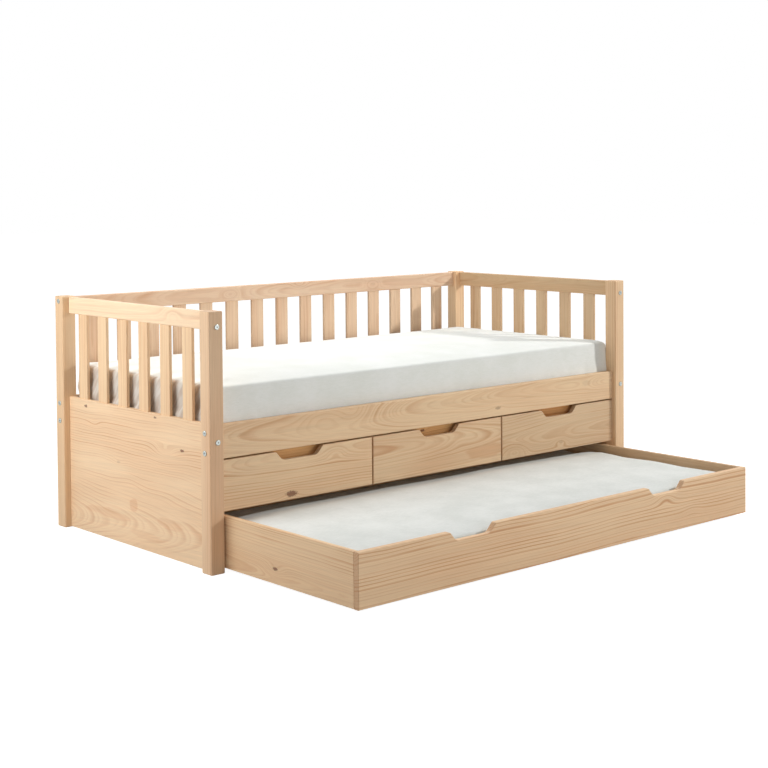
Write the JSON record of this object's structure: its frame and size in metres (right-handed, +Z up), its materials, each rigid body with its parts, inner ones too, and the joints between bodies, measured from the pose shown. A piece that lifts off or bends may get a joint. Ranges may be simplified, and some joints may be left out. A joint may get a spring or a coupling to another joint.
{
  "type": "storage daybed",
  "caption": "Wooden storage daybed with slatted ends and back, a row of drawers under the mattress and a low pull-out trundle bed on castors",
  "frame": {"origin": "centre of the footprint at floor height, with the trundle drawn out as stored", "axes": "+X along the bed to its right end seen from the front, +Y towards the back guard, +Z up"},
  "size_m": [2.095, 1.6756, 0.865],
  "materials": {
    "posts_and_rails": "satin",
    "drawer_wood": "satin",
    "trundle_wood": "satin",
    "mattress_base": "matt",
    "dowel_wood": "matt",
    "zinc_steel": "zinc plated",
    "castor_plastic": "matt",
    "mattress_cover": "matt"
  },
  "bodies": {
    "bed_frame": {"front_left_post": "posts_and_rails", "front_right_post": "posts_and_rails", "back_left_post": "posts_and_rails", "back_right_post": "posts_and_rails", "left_end_top_rail": "posts_and_rails", "left_end_slats": "posts_and_rails", "left_end_board": "posts_and_rails", "right_end_top_rail": "posts_and_rails", "right_end_slats": "posts_and_rails", "right_end_board": "posts_and_rails", "back_top_rail": "posts_and_rails", "back_slats": "posts_and_rails", "lower_back_rail": "posts_and_rails", "front_rail": "posts_and_rails", "mattress_base_cleats": "mattress_base", "mattress_base_slats": "mattress_base", "base_slat_screws": "zinc_steel", "left_drawer_divider": "mattress_base", "right_drawer_divider": "mattress_base", "drawer_runners": "mattress_base", "frame_bolts": "zinc_steel", "frame_barrel_nuts": "zinc_steel", "end_board_dowels": "dowel_wood", "upper_mattress": "mattress_cover"},
    "left_drawer": {"left_drawer_front": "drawer_wood", "left_drawer_inner_front": "drawer_wood", "left_drawer_sides": "drawer_wood", "left_drawer_back": "drawer_wood", "left_drawer_floor": "drawer_wood", "left_drawer_dowels": "dowel_wood"},
    "middle_drawer": {"middle_drawer_front": "drawer_wood", "middle_drawer_inner_front": "drawer_wood", "middle_drawer_sides": "drawer_wood", "middle_drawer_back": "drawer_wood", "middle_drawer_floor": "drawer_wood", "middle_drawer_dowels": "dowel_wood"},
    "right_drawer": {"right_drawer_front": "drawer_wood", "right_drawer_inner_front": "drawer_wood", "right_drawer_sides": "drawer_wood", "right_drawer_back": "drawer_wood", "right_drawer_floor": "drawer_wood", "right_drawer_dowels": "dowel_wood"},
    "trundle": {"trundle_front": "trundle_wood", "trundle_left_side": "trundle_wood", "trundle_right_side": "trundle_wood", "trundle_back": "trundle_wood", "trundle_base_cleats": "mattress_base", "trundle_centre_bearer": "mattress_base", "trundle_base_slats": "mattress_base", "trundle_slat_screws": "zinc_steel", "trundle_dowels": "dowel_wood", "castor_brackets": "zinc_steel", "castor_axles": "zinc_steel", "trundle_mattress": "mattress_cover"},
    "castor_wheel_front_left": {"castor_wheel_front_left": "castor_plastic"},
    "castor_wheel_back_left": {"castor_wheel_back_left": "castor_plastic"},
    "castor_wheel_front_middle": {"castor_wheel_front_middle": "castor_plastic"},
    "castor_wheel_back_middle": {"castor_wheel_back_middle": "castor_plastic"},
    "castor_wheel_front_right": {"castor_wheel_front_right": "castor_plastic"},
    "castor_wheel_back_right": {"castor_wheel_back_right": "castor_plastic"}
  },
  "joints": [
    {"name": "left_drawer_slide", "type": "slide", "parent": "bed_frame", "child": "left_drawer", "axis": [0, -1, 0], "range_m": [0, 0.4]},
    {"name": "middle_drawer_slide", "type": "slide", "parent": "bed_frame", "child": "middle_drawer", "axis": [0, -1, 0], "range_m": [0, 0.4]},
    {"name": "right_drawer_slide", "type": "slide", "parent": "bed_frame", "child": "right_drawer", "axis": [0, -1, 0], "range_m": [0, 0.4]},
    {"name": "trundle_roll", "type": "slide", "parent": "bed_frame", "child": "trundle", "axis": [0, -1, 0], "range_m": [-0.6875, 0.28]},
    {"name": "front_left_wheel_spin", "type": "hinge", "parent": "trundle", "child": "castor_wheel_front_left", "pos_m": [-0.866, -0.79075, 0.02], "axis": [1, 0, 0], "continuous": true},
    {"name": "back_left_wheel_spin", "type": "hinge", "parent": "trundle", "child": "castor_wheel_back_left", "pos_m": [-0.866, 0.06325, 0.02], "axis": [1, 0, 0], "continuous": true},
    {"name": "front_middle_wheel_spin", "type": "hinge", "parent": "trundle", "child": "castor_wheel_front_middle", "pos_m": [-0.0185, -0.79075, 0.02], "axis": [1, 0, 0], "continuous": true},
    {"name": "back_middle_wheel_spin", "type": "hinge", "parent": "trundle", "child": "castor_wheel_back_middle", "pos_m": [-0.0185, 0.06325, 0.02], "axis": [1, 0, 0], "continuous": true},
    {"name": "front_right_wheel_spin", "type": "hinge", "parent": "trundle", "child": "castor_wheel_front_right", "pos_m": [0.829, -0.79075, 0.02], "axis": [1, 0, 0], "continuous": true},
    {"name": "back_right_wheel_spin", "type": "hinge", "parent": "trundle", "child": "castor_wheel_back_right", "pos_m": [0.829, 0.06325, 0.02], "axis": [1, 0, 0], "continuous": true}
  ],
  "couplings": [
    {"joint": "front_left_wheel_spin", "follows": "trundle_roll", "rad_per_m": 50},
    {"joint": "back_left_wheel_spin", "follows": "trundle_roll", "rad_per_m": 50},
    {"joint": "front_middle_wheel_spin", "follows": "trundle_roll", "rad_per_m": 50},
    {"joint": "back_middle_wheel_spin", "follows": "trundle_roll", "rad_per_m": 50},
    {"joint": "front_right_wheel_spin", "follows": "trundle_roll", "rad_per_m": 50},
    {"joint": "back_right_wheel_spin", "follows": "trundle_roll", "rad_per_m": 50}
  ]
}
